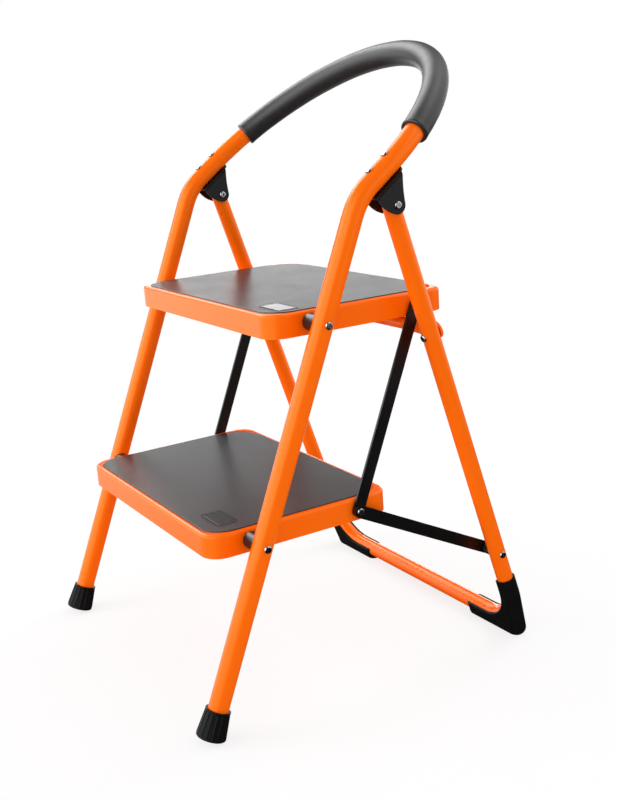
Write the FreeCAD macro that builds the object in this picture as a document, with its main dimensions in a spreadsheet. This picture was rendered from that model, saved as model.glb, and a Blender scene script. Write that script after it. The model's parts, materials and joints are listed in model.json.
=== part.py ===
"""Two-step folding ladder: tube frames, pressed steps, links and feet as separate pieces.

Millimetres. X is the width, with the steps' front edges towards -Y and +Z up. The origin lies on
the floor, under the middle of the open ladder.
"""
import FreeCAD, Part
import math
import os
import re
import Sketcher

Vector = FreeCAD.Vector
SIDES = (("left", -1), ("right", 1))

# Sizes that can be set by themselves, in millimetres and degrees.
DRIVING = (
    # Front frame: two leaning legs that bend back into one arched handrail
    ("front_tube_dia", 25),
    ("front_tube_wall", 1.2),
    ("front_lean", 20.5),
    ("leg_length", 646),
    ("bend_radius", 78),
    ("handle_lean", 51),
    ("handle_straight", 53),
    ("grip_wall", 4),
    ("grip_bare_angle", 15),
    # Rubber ferrules on the front legs
    ("foot_wall", 1.8),
    ("foot_flare", 3.6),
    ("foot_length", 34),
    ("foot_sole", 6),
    ("foot_flat", 2.4),
    ("foot_edge", 1),
    ("foot_rim", 1),
    ("foot_rim_height", 2.2),
    # Hinge brackets under the handrail
    ("hinge_along", 29),
    ("hinge_drop", 37.5),
    ("bracket_sheet", 2.5),
    ("bracket_lug_radius", 10.5),
    ("bracket_low", 13),
    ("bracket_high", 59),
    ("bracket_tab_radius", 7.5),
    ("bracket_fold_radius", 4.5),
    ("bracket_belly_radius", 38),
    ("bracket_back_radius", 150),
    ("bracket_rivet_low", 31),
    # Rear frame: a U of tube, hung from the brackets
    ("rear_tube_dia", 22),
    ("rear_tube_wall", 1.2),
    ("rear_lean", 19),
    ("rear_corner_radius", 60),
    ("rear_leg_top", 9),
    ("plug_head", 2),
    ("plug_stem", 5),
    # Rubber boots on the corners of the rear frame
    ("boot_wall", 1.6),
    ("boot_sole", 4),
    ("boot_rise", 80),
    ("boot_reach", 100),
    ("boot_round", 10.5),
    ("boot_lip", 6),
    ("boot_lip_round", 2),
    ("boot_heel_radius", 11.5),
    ("boot_toe_radius", 14),
    ("boot_toe_inset", 10),
    ("boot_knee_rise", 50),
    ("boot_knee_radius", 60),
    # Crossbar behind the rear legs, with pressed flat ends
    ("crossbar_dia", 16),
    ("crossbar_wall", 1.2),
    ("crossbar_flat_height", 23),
    ("crossbar_flat_sheet", 3.2),
    ("crossbar_flat_length", 44),
    ("crossbar_crimp_length", 30),
    ("crossbar_overhang", 7),
    # Steps: the same pressed tray twice, each with a rubber mat and a stiffening channel
    ("upper_pivot_height", 467),
    ("lower_pivot_height", 221),
    ("step_slope", 2),
    ("pan_width", 380),
    ("pan_height", 28.5),
    ("pan_sheet", 1.2),
    ("pan_front", 52.5),
    ("pan_overhang", 38.5),
    ("side_gap", 17.5),
    ("pivot_below_top", 13),
    ("pan_corner_radius", 25),
    ("pan_edge_radius", 4),
    ("rim_width", 6),
    ("recess_radius", 32),
    ("recess_depth", 2.5),
    ("mat_thickness", 3.5),
    ("mat_gap", 0.5),
    ("mat_rear_radius", 52),
    ("mat_edge_radius", 0.8),
    ("brace_width", 30),
    ("brace_flange", 10),
    ("brace_sheet", 1.2),
    ("brace_inset", 40),
    ("upper_brace_depth", 33.8),
    ("lower_brace_depth", 18),
    # Flat bars that tie the steps to each other and to the rear legs
    ("link_reach", 150),
    ("link_drop", 2.5),
    ("bar_width", 16),
    ("bar_sheet", 3),
    ("bar_gap", 0.5),
    ("stay_above_boot", 41.34),
    ("washer_dia", 14),
    ("washer_sheet", 1.2),
    # Bushes, spacers and rivets
    ("bush_dia", 21),
    ("bush_chamfer", 2),
    ("spacer_dia", 15),
    ("spacer_chamfer", 1),
    ("rivet_dia", 6),
    ("rivet_head_dia", 9.5),
    ("rivet_head_height", 2.2),
    ("rivet_head_round", 1.6),
    ("rivet_bore_dia", 4.2),
    ("rivet_bore_depth", 2.6),
    # Clearances: round pins in their holes, fixed sleeves on tubes, faces that slide past each other
    ("pin_gap", 0.1),
    ("sleeve_gap", 0.1),
    ("run_gap", 0.3),
)

# Sizes and places that follow from the ones above.
DERIVED = (
    ("front_radius", "front_tube_dia / 2"),
    ("rear_radius", "rear_tube_dia / 2"),
    ("boot_radius", "rear_radius + boot_wall"),
    ("foot_top", "front_radius + foot_wall"),
    ("foot_bottom", "foot_top + foot_flare"),
    ("bar_radius", "bar_width / 2"),
    ("pan_half", "pan_width / 2"),
    ("half_spacing", "pan_half + side_gap + front_radius"),
    ("rivet_hole", "rivet_dia / 2 + pin_gap"),
    ("bend_tangent", "bend_radius * tan((handle_lean - front_lean) / 2)"),
    ("foot_start", "(foot_bottom - foot_flat) * tan(front_lean)"),
    # The hinge's run and height from the point where a front leg's axis meets the floor
    ("hinge_run", "leg_length * sin(front_lean) + hinge_along * sin(handle_lean)"
                  " + hinge_drop * cos(handle_lean)"),
    ("hinge_z", "leg_length * cos(front_lean) + hinge_along * cos(handle_lean)"
                " - hinge_drop * sin(handle_lean)"),
    # The origin is midway between the ferrules' front edges and the boots' rear edges
    ("front_reach", "foot_bottom * cos(front_lean) - (foot_start + foot_edge) * sin(front_lean)"),
    ("floor_along", "(hinge_z + boot_radius * sin(rear_lean)) / cos(rear_lean)"),
    ("rear_reach", "hinge_run + (boot_radius - boot_round) * cos(rear_lean)"
                   " + (floor_along - boot_round) * sin(rear_lean) + boot_round"),
    ("ground_y", "(front_reach - rear_reach) / 2"),
    ("hinge_y", "ground_y + hinge_run"),
    ("bend_y", "ground_y + leg_length * sin(front_lean)"),
    ("bend_z", "leg_length * cos(front_lean)"),
    ("arch_y", "bend_y + handle_straight * sin(handle_lean)"),
    ("arch_z", "bend_z + handle_straight * cos(handle_lean)"),
    ("bracket_width", "rear_tube_dia + 2 * run_gap + 2 * bracket_sheet"),
    ("bracket_rivet_high", "bracket_high"),
    ("bar_along", "(hinge_z - rear_radius - boot_sole) / cos(rear_lean)"),
    # Step pivots on the front legs, and the link pivots level with them on the steps' sides
    ("upper_y", "ground_y + upper_pivot_height * tan(front_lean)"),
    ("lower_y", "ground_y + lower_pivot_height * tan(front_lean)"),
    ("link_dy", "link_reach * cos(step_slope) + link_drop * sin(step_slope)"),
    ("link_dz", "link_reach * sin(step_slope) - link_drop * cos(step_slope)"),
    ("link_length", "(upper_pivot_height - lower_pivot_height) / cos(front_lean)"),
    ("stay_y", "lower_y + link_dy"),
    ("stay_z", "lower_pivot_height + link_dz"),
    # The stay's pivot on the rear leg, above the boot
    ("stay_along", "bar_along - boot_rise - stay_above_boot"),
    ("anchor_y", "hinge_y + stay_along * sin(rear_lean)"),
    ("anchor_z", "hinge_z - stay_along * cos(rear_lean)"),
    ("stay_length", "sqrt((anchor_y - stay_y) ^ 2 + (anchor_z - stay_z) ^ 2)"),
    ("stay_turn", "atan((anchor_z - stay_z) / (anchor_y - stay_y)) / 1 deg"),
    # Layers beside a step, from its side wall outwards
    ("link_in", "pan_half + washer_sheet + run_gap"),
    ("link_out", "link_in + bar_sheet"),
    ("stay_in", "link_out + bar_gap"),
    ("stay_out", "stay_in + bar_sheet"),
    # The crossbar lies where the upper step's channel comes down on it, and the steps reach past it
    ("under_sheet", "pivot_below_top - recess_depth - pan_sheet"),
    ("rest_level", "under_sheet - upper_brace_depth"),
    ("crossbar_off", "rear_radius + crossbar_flat_sheet / 2"),
    ("crossbar_along", "((hinge_z - upper_pivot_height + crossbar_off * sin(rear_lean)) * cos(step_slope)"
                       " - (hinge_y - upper_y + crossbar_off * cos(rear_lean)) * sin(step_slope)"
                       " + crossbar_dia / 2 + run_gap - rest_level) / cos(rear_lean - step_slope)"),
    ("crossbar_y", "hinge_y + crossbar_along * sin(rear_lean) + crossbar_off * cos(rear_lean)"),
    ("crossbar_z", "hinge_z - crossbar_along * cos(rear_lean) + crossbar_off * sin(rear_lean)"),
    ("rest_along", "(crossbar_y - upper_y) * cos(step_slope)"
                   " + (crossbar_z - upper_pivot_height) * sin(step_slope)"),
    ("pan_rear", "rest_along + pan_overhang"),
    ("brace_length", "pan_width - 2 * brace_inset"),
    ("lower_brace_along", "(pan_rear - pan_front) / 2"),
    ("lower_brace_level", "under_sheet - lower_brace_depth"),
)

doc = FreeCAD.newDocument("step_ladder")
dims = doc.addObject("Spreadsheet::Sheet", "Dims")
sub_parts = []


def fill_sheet():
    """Give every size a row: its name, and its number or rule under the same alias."""
    cells = [(alias, str(value)) for alias, value in DRIVING]
    cells += [(alias, "=" + rule) for alias, rule in DERIVED]
    for row, (alias, content) in enumerate(cells, 1):
        dims.set("A%d" % row, alias)
        dims.set("B%d" % row, content)
        dims.setAlias("B%d" % row, alias)
    doc.recompute()


ALIAS = re.compile(r"\b(%s)\b" % "|".join(name for name, _ in DRIVING + DERIVED))


def bound(rule):
    """The rule as another object's expression, with each size read from the sheet."""
    return ALIAS.sub(r"Dims.\1", rule)


def number(rule):
    """The rule's present value."""
    return float(dims.evalExpression(rule))


def place(thing, x, y, z, turn):
    """Move a thing to a point, turned about X."""
    thing.Placement = FreeCAD.Placement(Vector(), FreeCAD.Rotation(Vector(1, 0, 0), 1))
    rules = (("Base.x", x), ("Base.y", y), ("Base.z", z), ("Rotation.Angle", turn))
    for path, rule in rules:
        thing.setExpression("Placement." + path, bound(rule))


def new_body(name, x="0", y="0", z="0", turn="0"):
    body = doc.addObject("PartDesign::Body", name)
    place(body, x, y, z, turn)
    return body


def origin_part(body, role):
    return next(part for part in body.Origin.OriginFeatures if part.Role == role)


def new_sketch(body, name, role, lift="0"):
    """A sketch on one of the body's own planes, lifted along the plane's normal."""
    sketch = body.newObject("Sketcher::SketchObject", name)
    sketch.AttachmentSupport = (origin_part(body, role), [""])
    sketch.MapMode = "FlatFace"
    sketch.setExpression("AttachmentOffset.Base.z", bound(lift))
    return sketch


def fix(sketch, kind, target, rule):
    """One dimension of a sketch, bound to a rule."""
    index = sketch.addConstraint(Sketcher.Constraint(kind, *target, number(rule)))
    sketch.setExpression("Constraints[%d]" % index, bound(rule))


def fix_point(sketch, geometry, end, x, y):
    fix(sketch, "DistanceX", (-1, 1, geometry, end), x)
    fix(sketch, "DistanceY", (-1, 1, geometry, end), y)


def line(sketch, start, finish):
    return sketch.addGeometry(Part.LineSegment(Vector(*start, 0), Vector(*finish, 0)), False)


def arc(sketch, centre, radius, first, last):
    """An arc from one angle to another, in radians, anticlockwise."""
    circle_of_arc = Part.Circle(Vector(*centre, 0), Vector(0, 0, 1), radius)
    return sketch.addGeometry(Part.ArcOfCircle(circle_of_arc, first, last), False)


def tangent(sketch, before, after):
    sketch.addConstraint(Sketcher.Constraint("Tangent", before, 2, after, 1))


def polygon(sketch, corners):
    """A closed outline of straight lines; each corner is a pair of rules."""
    spots = [(number(x), number(y)) for x, y in corners]
    count = len(spots)
    edges = [line(sketch, spots[i], spots[(i + 1) % count]) for i in range(count)]
    for i, edge in enumerate(edges):
        sketch.addConstraint(Sketcher.Constraint("Coincident", edge, 2, edges[(i + 1) % count], 1))
    for edge, (x, y) in zip(edges, corners):
        fix_point(sketch, edge, 1, x, y)


def circle(sketch, x, y, radius):
    spot = Vector(number(x), number(y), 0)
    index = sketch.addGeometry(Part.Circle(spot, Vector(0, 0, 1), number(radius)), False)
    fix_point(sketch, index, 3, x, y)
    fix(sketch, "Radius", (index,), radius)


QUARTER = math.pi / 2


def bearing(start, finish):
    """The angle of the way from one point to another, in radians."""
    return math.atan2(finish.y - start.y, finish.x - start.x)


def meet(first, first_radius, second, second_radius, hand):
    """The point at given distances from two others, on one hand of the way between them."""
    reach = second - first
    along = (first_radius ** 2 - second_radius ** 2 + reach.Length ** 2) / (2 * reach.Length)
    off = hand * (first_radius ** 2 - along ** 2) ** 0.5
    ahead = reach * (1 / reach.Length)
    return first + ahead * along + Vector(-ahead.y, ahead.x, 0) * off


def rounded_outline(sketch, half_width, front, rear, front_radius, rear_radius):
    """A rectangle across the middle plane, with one corner radius in front and one behind."""
    w, low, high = number(half_width), number(front), number(rear)
    f, r = number(front_radius), number(rear_radius)
    loop = [
        line(sketch, (f - w, low), (w - f, low)),
        arc(sketch, (w - f, low + f), f, -QUARTER, 0),
        line(sketch, (w, low + f), (w, high - r)),
        arc(sketch, (w - r, high - r), r, 0, QUARTER),
        line(sketch, (w - r, high), (r - w, high)),
        arc(sketch, (r - w, high - r), r, QUARTER, 2 * QUARTER),
        line(sketch, (-w, high - r), (-w, low + f)),
        arc(sketch, (f - w, low + f), f, 2 * QUARTER, 3 * QUARTER),
    ]
    for i, edge in enumerate(loop):
        tangent(sketch, edge, loop[(i + 1) % len(loop)])
    for edge, kind in zip(loop[::2], ("Horizontal", "Vertical", "Horizontal", "Vertical")):
        sketch.addConstraint(Sketcher.Constraint(kind, edge))
    for edge, radius in zip(loop[1::2], (front_radius, rear_radius, rear_radius, front_radius)):
        fix(sketch, "Radius", (edge,), radius)
    fix(sketch, "DistanceY", (-1, 1, loop[0], 1), front)
    fix(sketch, "DistanceX", (-1, 1, loop[2], 1), half_width)
    fix(sketch, "DistanceY", (-1, 1, loop[4], 1), rear)
    fix(sketch, "DistanceX", (-1, 1, loop[6], 1), "-" + half_width)


def slot(sketch, length, radius):
    """A bar's outline with round ends, from the origin along the sketch's own X."""
    span, r = number(length), number(radius)
    loop = [
        arc(sketch, (0, 0), r, QUARTER, 3 * QUARTER),
        line(sketch, (0, -r), (span, -r)),
        arc(sketch, (span, 0), r, -QUARTER, QUARTER),
        line(sketch, (span, r), (0, r)),
    ]
    for i, edge in enumerate(loop):
        tangent(sketch, edge, loop[(i + 1) % len(loop)])
    sketch.addConstraint(Sketcher.Constraint("Horizontal", loop[1]))
    fix_point(sketch, loop[0], 3, "0", "0")
    fix_point(sketch, loop[2], 3, length, "0")
    fix(sketch, "Radius", (loop[0],), radius)


def extrude(kind, body, sketch, length, symmetric=False, reverse=False):
    feature = body.newObject("PartDesign::" + kind, sketch.Name + "_" + kind.lower())
    feature.Profile = sketch
    feature.SideType = "Symmetric" if symmetric else "One side"
    feature.Reversed = reverse
    feature.setExpression("Length", bound(length))
    return feature


def cut_through(body, sketch):
    """Cut a sketch right through the body, both ways."""
    feature = body.newObject("PartDesign::Pocket", sketch.Name + "_pocket")
    feature.Profile = sketch
    feature.SideType = "Symmetric"
    feature.Type = "ThroughAll"
    return feature


def revolve(body, sketch, axis):
    feature = body.newObject("PartDesign::Revolution", sketch.Name + "_turned")
    feature.Profile = sketch
    feature.ReferenceAxis = (sketch, [axis])
    return feature


def round_edges(body, base, radius, wanted):
    """Fillet the edges of a feature that a test picks."""
    doc.recompute()
    picked = ["Edge%d" % (i + 1) for i, edge in enumerate(base.Shape.Edges) if wanted(edge)]
    feature = body.newObject("PartDesign::Fillet", base.Name + "_rounded")
    feature.Base = (base, picked)
    feature.setExpression("Radius", bound(radius))
    return feature


def cylinder(name, radius, height, x, y, z, turn):
    """A plain cylinder along Z, turned about X and moved to a point."""
    tool = doc.addObject("Part::Cylinder", name)
    tool.setExpression("Radius", bound(radius))
    tool.setExpression("Height", bound(height))
    place(tool, x, y, z, turn)
    return tool


def cut(name, base, tool):
    result = doc.addObject("Part::Cut", name)
    result.Base = base
    result.Tool = tool
    return result


def joined(kind, name, pieces):
    result = doc.addObject("Part::" + kind, name)
    setattr(result, "Links" if kind == "Compound" else "Shapes", pieces)
    return result


def keep(thing, label):
    """Name a finished sub-part; the label is its node."""
    thing.Label = label
    sub_parts.append(thing)


def rivet(name, axis, start, finish, heads, spot, turn="0", rolled=None):
    """A shank along X or Z from start to finish, with a rounded head at each end that heads names.

    The end that rolled names is closed over as a hollow rivet's is, round a short bore.
    """
    body = new_body(name, *spot, turn)
    sketch = new_sketch(body, name + "_profile", "XY_Plane" if axis == "X" else "XZ_Plane")
    outward = "+" if number(finish) > number(start) else "-"
    inward = "-" if outward == "+" else "+"
    first = "%s %s rivet_head_height" % (start, inward) if "start" in heads else start
    last = "%s %s rivet_head_height" % (finish, outward) if "finish" in heads else finish
    shank, head, bore = "rivet_dia / 2", "rivet_head_dia / 2", "rivet_bore_dia / 2"
    profile = [(first, "0")]
    if rolled == "start":
        pit = "%s %s rivet_bore_depth" % (first, outward)
        profile = [(pit, "0"), (pit, bore), (first, bore)]
    if "start" in heads:
        profile += [(first, head), (start, head)]
    profile += [(start, shank), (finish, shank)]
    if "finish" in heads:
        profile += [(finish, head), (last, head)]
    if rolled == "finish":
        pit = "%s %s rivet_bore_depth" % (last, inward)
        profile += [(last, bore), (pit, bore), (pit, "0")]
    else:
        profile += [(last, "0")]
    if axis == "Z":
        profile = [(radius, along) for along, radius in profile]
    polygon(sketch, profile)
    turned = revolve(body, sketch, "H_Axis" if axis == "X" else "V_Axis")
    ends = [number(rule) for rule, named in ((first, "start"), (last, "finish")) if named in heads]
    rim = number(head)

    def on_rim(edge):
        middle = edge.BoundBox.Center
        along = middle.x if axis == "X" else middle.z
        return edge.BoundBox.YLength > 2 * rim - 0.01 and any(abs(along - end) < 0.01 for end in ends)

    round_edges(body, turned, "rivet_head_round", on_rim)
    return body


def ring(name, side, start, finish, dia, chamfer, y, z):
    """A spacer along X with a rivet hole, chamfered where it starts."""
    body = new_body(name, "0", y, z)
    sketch = new_sketch(body, name + "_profile", "XY_Plane")
    near, far, radius = "%d * (%s)" % (side, start), "%d * (%s)" % (side, finish), dia + " / 2"
    polygon(sketch, [
        (near, "rivet_hole"),
        (near, "%s - %s" % (radius, chamfer)),
        ("%d * (%s + %s)" % (side, start, chamfer), radius),
        (far, radius),
        (far, "rivet_hole"),
    ])
    revolve(body, sketch, "H_Axis")
    return body


def leg_at(name, side, radius, y, z, turn):
    """A stretch of leg round a pivot, for cutting the saddle of a piece that seats on the leg."""
    half_length = "(bush_dia + %s)" % radius
    return cylinder(
        name, radius, "2 * " + half_length, "%d * half_spacing" % side,
        "%s + %s * sin(%s)" % (y, half_length, turn), "%s - %s * cos(%s)" % (z, half_length, turn), turn)


def front_frame_tube():
    """Both legs and the handrail as one bent tube, drilled for its rivets."""
    half = number("half_spacing")

    def on_leg(side, along):
        return Vector(side * half, number("ground_y + (%s) * sin(front_lean)" % along),
                      number("(%s) * cos(front_lean)" % along))

    def on_handle(side, along):
        return Vector(side * half, number("bend_y + (%s) * sin(handle_lean)" % along),
                      number("bend_z + (%s) * cos(handle_lean)" % along))

    def on_bend(side):
        middle = "((front_lean + handle_lean) / 2)"
        start = on_leg(side, "leg_length - bend_tangent")
        dy = number("bend_radius * (cos(front_lean) - cos%s)" % middle)
        dz = number("bend_radius * (sin%s - sin(front_lean))" % middle)
        return start + Vector(0, dy, dz)

    def leg_edges(side):
        bend_start = on_leg(side, "leg_length - bend_tangent")
        bend_end = on_handle(side, "bend_tangent")
        return [
            Part.LineSegment(on_leg(side, "foot_start + foot_sole"), bend_start).toShape(),
            Part.Arc(bend_start, on_bend(side), bend_end).toShape(),
            Part.LineSegment(bend_end, on_handle(side, "handle_straight")).toShape(),
        ]

    crown = on_handle(0, "handle_straight + half_spacing")
    arch = Part.Arc(on_handle(-1, "handle_straight"), crown, on_handle(1, "handle_straight"))
    path = Part.Wire(leg_edges(-1) + [arch.toShape()] + leg_edges(1)[::-1])
    foot_end = on_leg(-1, "foot_start + foot_sole")
    along_leg = Vector(0, number("sin(front_lean)"), number("cos(front_lean)"))

    def swept(radius):
        section = Part.Wire(Part.Circle(foot_end, along_leg, number(radius)).toShape())
        return path.makePipeShell([section], True, False)

    tube = doc.addObject("Part::Feature", "front_tube_sweep")
    tube.Shape = swept("front_radius").cut(swept("front_radius - front_tube_wall"))

    drills = []
    for level, y, z in (("upper", "upper_y", "upper_pivot_height"),
                        ("lower", "lower_y", "lower_pivot_height")):
        body = new_body(level + "_pivot_drill", "0", y, z)
        sketch = new_sketch(body, level + "_pivot_drill_circle", "YZ_Plane")
        circle(sketch, "0", "0", "rivet_hole")
        extrude("Pad", body, sketch, "2 * (half_spacing + front_tube_dia)", symmetric=True)
        drills.append(body)
    for side_name, side in SIDES:
        for height in ("low", "high"):
            along = "bracket_rivet_" + height
            drills.append(cylinder(
                "bracket_drill_%s_%s" % (side_name, height), "rivet_hole", "2 * front_tube_dia",
                "%d * half_spacing" % side,
                "bend_y + %s * sin(handle_lean) + front_tube_dia * cos(handle_lean)" % along,
                "bend_z + %s * cos(handle_lean) - front_tube_dia * sin(handle_lean)" % along,
                "90 - handle_lean"))
    keep(cut("front_tube_drilled", tube, joined("MultiFuse", "front_drills", drills)),
         "front_frame_tube")


def handrail_foam():
    """The foam sleeve round the arch of the handrail."""
    body = new_body("grip", "0", "arch_y", "arch_z", "90 - handle_lean")
    sketch = new_sketch(body, "grip_section", "YZ_Plane")
    circle(sketch, "half_spacing", "0", "front_radius + grip_wall")
    circle(sketch, "half_spacing", "0", "front_radius + sleeve_gap")
    sleeve = revolve(body, sketch, "V_Axis")
    sleeve.Midplane = True
    sleeve.setExpression("Angle", bound("180 - 2 * grip_bare_angle"))
    keep(body, "handrail_foam")


def front_foot(side_name, side):
    """A ferrule, closed below the tube and worn flat where it meets the floor."""
    body = new_body("ferrule_" + side_name, "%d * half_spacing" % side, "ground_y", "0", "-front_lean")
    top = "foot_start + foot_length"
    bore = "front_radius + sleeve_gap"
    sketch = new_sketch(body, "ferrule_profile_" + side_name, "XZ_Plane")
    polygon(sketch, [
        ("0", "foot_start"),
        ("foot_bottom - foot_edge", "foot_start"),
        ("foot_bottom", "foot_start + foot_edge"),
        ("foot_top", top + " - foot_rim_height"),
        ("foot_top + foot_rim", top + " - foot_rim_height"),
        ("foot_top + foot_rim", top),
        (bore, top),
        (bore, "foot_start + foot_sole"),
        ("0", "foot_start + foot_sole"),
    ])
    revolve(body, sketch, "V_Axis")
    floor = new_sketch(body, "ferrule_floor_" + side_name, "YZ_Plane")
    polygon(floor, [
        ("0", "0"),
        ("2 * foot_bottom", "0"),
        ("2 * foot_bottom", "2 * foot_bottom * tan(front_lean)"),
    ])
    cut_through(body, floor)
    keep(body, "front_foot_" + side_name)


def hinge_bracket(side_name, side):
    """A folded U of sheet under the handrail, whose two ears straddle the rear leg."""
    body = new_body("bracket_" + side_name, "%d * half_spacing" % side, "bend_y", "bend_z",
                    "-handle_lean")
    ear = new_sketch(body, "ear_" + side_name, "YZ_Plane")
    tube_side, lug = number("front_radius"), number("bracket_lug_radius")
    full, hollow = number("bracket_belly_radius"), number("bracket_back_radius")
    centre = Vector(number("hinge_drop"), number("hinge_along"), 0)
    bend, bend_end = number("bend_radius"), number("bend_tangent")
    drop = math.asin((bend_end - number("bracket_low")) / (bend - tube_side))
    low = Vector(bend - (bend - tube_side) * math.cos(drop), number("bracket_low"), 0)
    high = Vector(tube_side, number("bracket_high"), 0)
    # The lug's round nose runs on into a full belly below it and a slightly hollow back above it
    belly_centre = meet(low, full, centre, full - lug, 1)
    back_centre = meet(centre, hollow + lug, high, hollow, -1)
    first, last = bearing(belly_centre, centre), bearing(centre, back_centre)
    belly = arc(ear, (belly_centre.x, belly_centre.y), full, bearing(belly_centre, low), first)
    nose = arc(ear, (centre.x, centre.y), lug, first, last)
    back = arc(ear, (back_centre.x, back_centre.y), hollow, bearing(back_centre, high),
               bearing(back_centre, centre))
    spine = line(ear, (high.x, high.y), (tube_side, bend_end))
    seat = arc(ear, (bend, bend_end), bend - tube_side, 2 * QUARTER, 2 * QUARTER + drop)
    tangent(ear, belly, nose)
    ear.addConstraint(Sketcher.Constraint("Tangent", nose, 2, back, 2))
    ear.addConstraint(Sketcher.Constraint("Coincident", back, 1, spine, 1))
    tangent(ear, spine, seat)
    ear.addConstraint(Sketcher.Constraint("Vertical", spine))
    ear.addConstraint(Sketcher.Constraint("Coincident", seat, 2, belly, 1))
    fix(ear, "DistanceY", (-1, 1, belly, 1), "bracket_low")
    fix_point(ear, back, 1, "front_radius", "bracket_high")
    fix_point(ear, seat, 3, "bend_radius", "bend_tangent")
    fix_point(ear, nose, 3, "hinge_drop", "hinge_along")
    fix(ear, "Radius", (belly,), "bracket_belly_radius")
    fix(ear, "Radius", (nose,), "bracket_lug_radius")
    fix(ear, "Radius", (back,), "bracket_back_radius")
    block = extrude("Pad", body, ear, "bracket_width", symmetric=True)
    web = "front_radius + bracket_sheet"

    def along_fold(edge):
        return edge.BoundBox.XLength < 0.01 and edge.BoundBox.YMax < low.x + 0.01

    round_edges(body, block, "bracket_fold_radius", along_fold)
    tab = new_sketch(body, "bracket_tab_" + side_name, "XZ_Plane", "-(%s)" % web)
    circle(tab, "0", "bracket_rivet_high", "bracket_tab_radius")
    extrude("Pad", body, tab, "bracket_sheet")
    gap = new_sketch(body, "bracket_gap_" + side_name, "YZ_Plane")
    nose_end = "hinge_drop + 2 * bracket_lug_radius"
    below, above = "bracket_low - 2 * bracket_lug_radius", "bracket_high + 2 * bracket_tab_radius"
    polygon(gap, [(web, below), (nose_end, below), (nose_end, above), (web, above)])
    channel = extrude("Pocket", body, gap, "rear_tube_dia + 2 * run_gap", symmetric=True)
    ear_inside, web_inside = number("rear_radius + run_gap"), number(web)

    def in_fold(edge):
        box = edge.BoundBox
        return (abs(abs(box.XMin) - ear_inside) < 0.01 and box.XLength < 0.01
                and box.YLength < 0.01 and abs(box.YMin - web_inside) < 0.01)

    round_edges(body, channel, "bracket_fold_radius - bracket_sheet", in_fold)
    pin = new_sketch(body, "bracket_pin_" + side_name, "YZ_Plane")
    circle(pin, "hinge_drop", "hinge_along", "rivet_hole")
    cut_through(body, pin)
    rivets = new_sketch(body, "bracket_holes_" + side_name, "XZ_Plane")
    circle(rivets, "0", "bracket_rivet_low", "rivet_hole")
    circle(rivets, "0", "bracket_rivet_high", "rivet_hole")
    cut_through(body, rivets)
    keep(body, "hinge_bracket_" + side_name)


def frame_rivets():
    """Rivets that hold the brackets, the hinge pins and the step pivots on the front frame."""
    bracket_rivets, hinge_pins = [], []
    for side_name, side in SIDES:
        x = "%d * half_spacing" % side
        for height in ("low", "high"):
            along, seat = "bracket_rivet_" + height, "(front_radius + bracket_sheet)"
            bracket_rivets.append(rivet(
                "bracket_rivet_%s_%s" % (side_name, height), "Z", "0",
                "front_tube_dia + bracket_sheet", ("start", "finish"),
                (x, "bend_y + %s * sin(handle_lean) + %s * cos(handle_lean)" % (along, seat),
                 "bend_z + %s * cos(handle_lean) - %s * sin(handle_lean)" % (along, seat)),
                "90 - handle_lean"))
        hinge_pins.append(rivet(
            "hinge_pin_" + side_name, "X", "-bracket_width / 2", "bracket_width / 2",
            ("start", "finish"), (x, "hinge_y", "hinge_z"), rolled="start" if side > 0 else "finish"))
    keep(joined("Compound", "bracket_rivet_set", bracket_rivets), "bracket_rivets")
    keep(joined("Compound", "hinge_pin_set", hinge_pins), "hinge_pins")


def step_pivots(level, y, z):
    """Bushes between a step and the front legs, and the rivets through them."""
    bushes, rivets = [], []
    for side_name, side in SIDES:
        name = "%s_%s" % (level, side_name)
        blank = ring(name + "_bush_blank", side, "pan_half + run_gap", "half_spacing",
                     "bush_dia", "bush_chamfer", y, z)
        leg = leg_at(name + "_leg", side, "front_radius", y, z, "-front_lean")
        bushes.append(cut(name + "_bush", blank, leg))
        rivets.append(rivet(
            name + "_pivot", "X", "%d * (pan_half - pan_sheet - run_gap)" % side,
            "%d * (half_spacing + front_radius)" % side, ("start", "finish"), ("0", y, z)))
    keep(joined("Compound", level + "_bush_set", bushes), level + "_step_bushes")
    keep(joined("Compound", level + "_pivot_set", rivets), level + "_pivot_rivets")


def rear_spine(body, name):
    """The rear frame's centre line: down one leg, along the floor bar and up the other leg."""
    sketch = new_sketch(body, name, "XZ_Plane")
    half, top = number("half_spacing"), number("rear_leg_top")
    bar, bend = -number("bar_along"), number("rear_corner_radius")
    run = [
        line(sketch, (-half, top), (-half, bar + bend)),
        arc(sketch, (bend - half, bar + bend), bend, 2 * QUARTER, 3 * QUARTER),
        line(sketch, (bend - half, bar), (half - bend, bar)),
        arc(sketch, (half - bend, bar + bend), bend, 3 * QUARTER, 4 * QUARTER),
        line(sketch, (half, bar + bend), (half, top)),
    ]
    for before, after in zip(run, run[1:]):
        tangent(sketch, before, after)
    for edge, kind in zip(run[::2], ("Vertical", "Horizontal", "Vertical")):
        sketch.addConstraint(Sketcher.Constraint(kind, edge))
    for edge in run[1::2]:
        fix(sketch, "Radius", (edge,), "rear_corner_radius")
    fix_point(sketch, run[0], 1, "-half_spacing", "rear_leg_top")
    fix(sketch, "DistanceY", (-1, 1, run[2], 1), "-bar_along")
    fix_point(sketch, run[4], 2, "half_spacing", "rear_leg_top")
    return sketch


def sweep(kind, body, section, spine):
    feature = body.newObject("PartDesign::" + kind, section.Name + "_sweep")
    feature.Profile = section
    feature.Spine = (spine, ["Edge%d" % (i + 1) for i in range(spine.GeometryCount)])
    return feature


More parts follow.
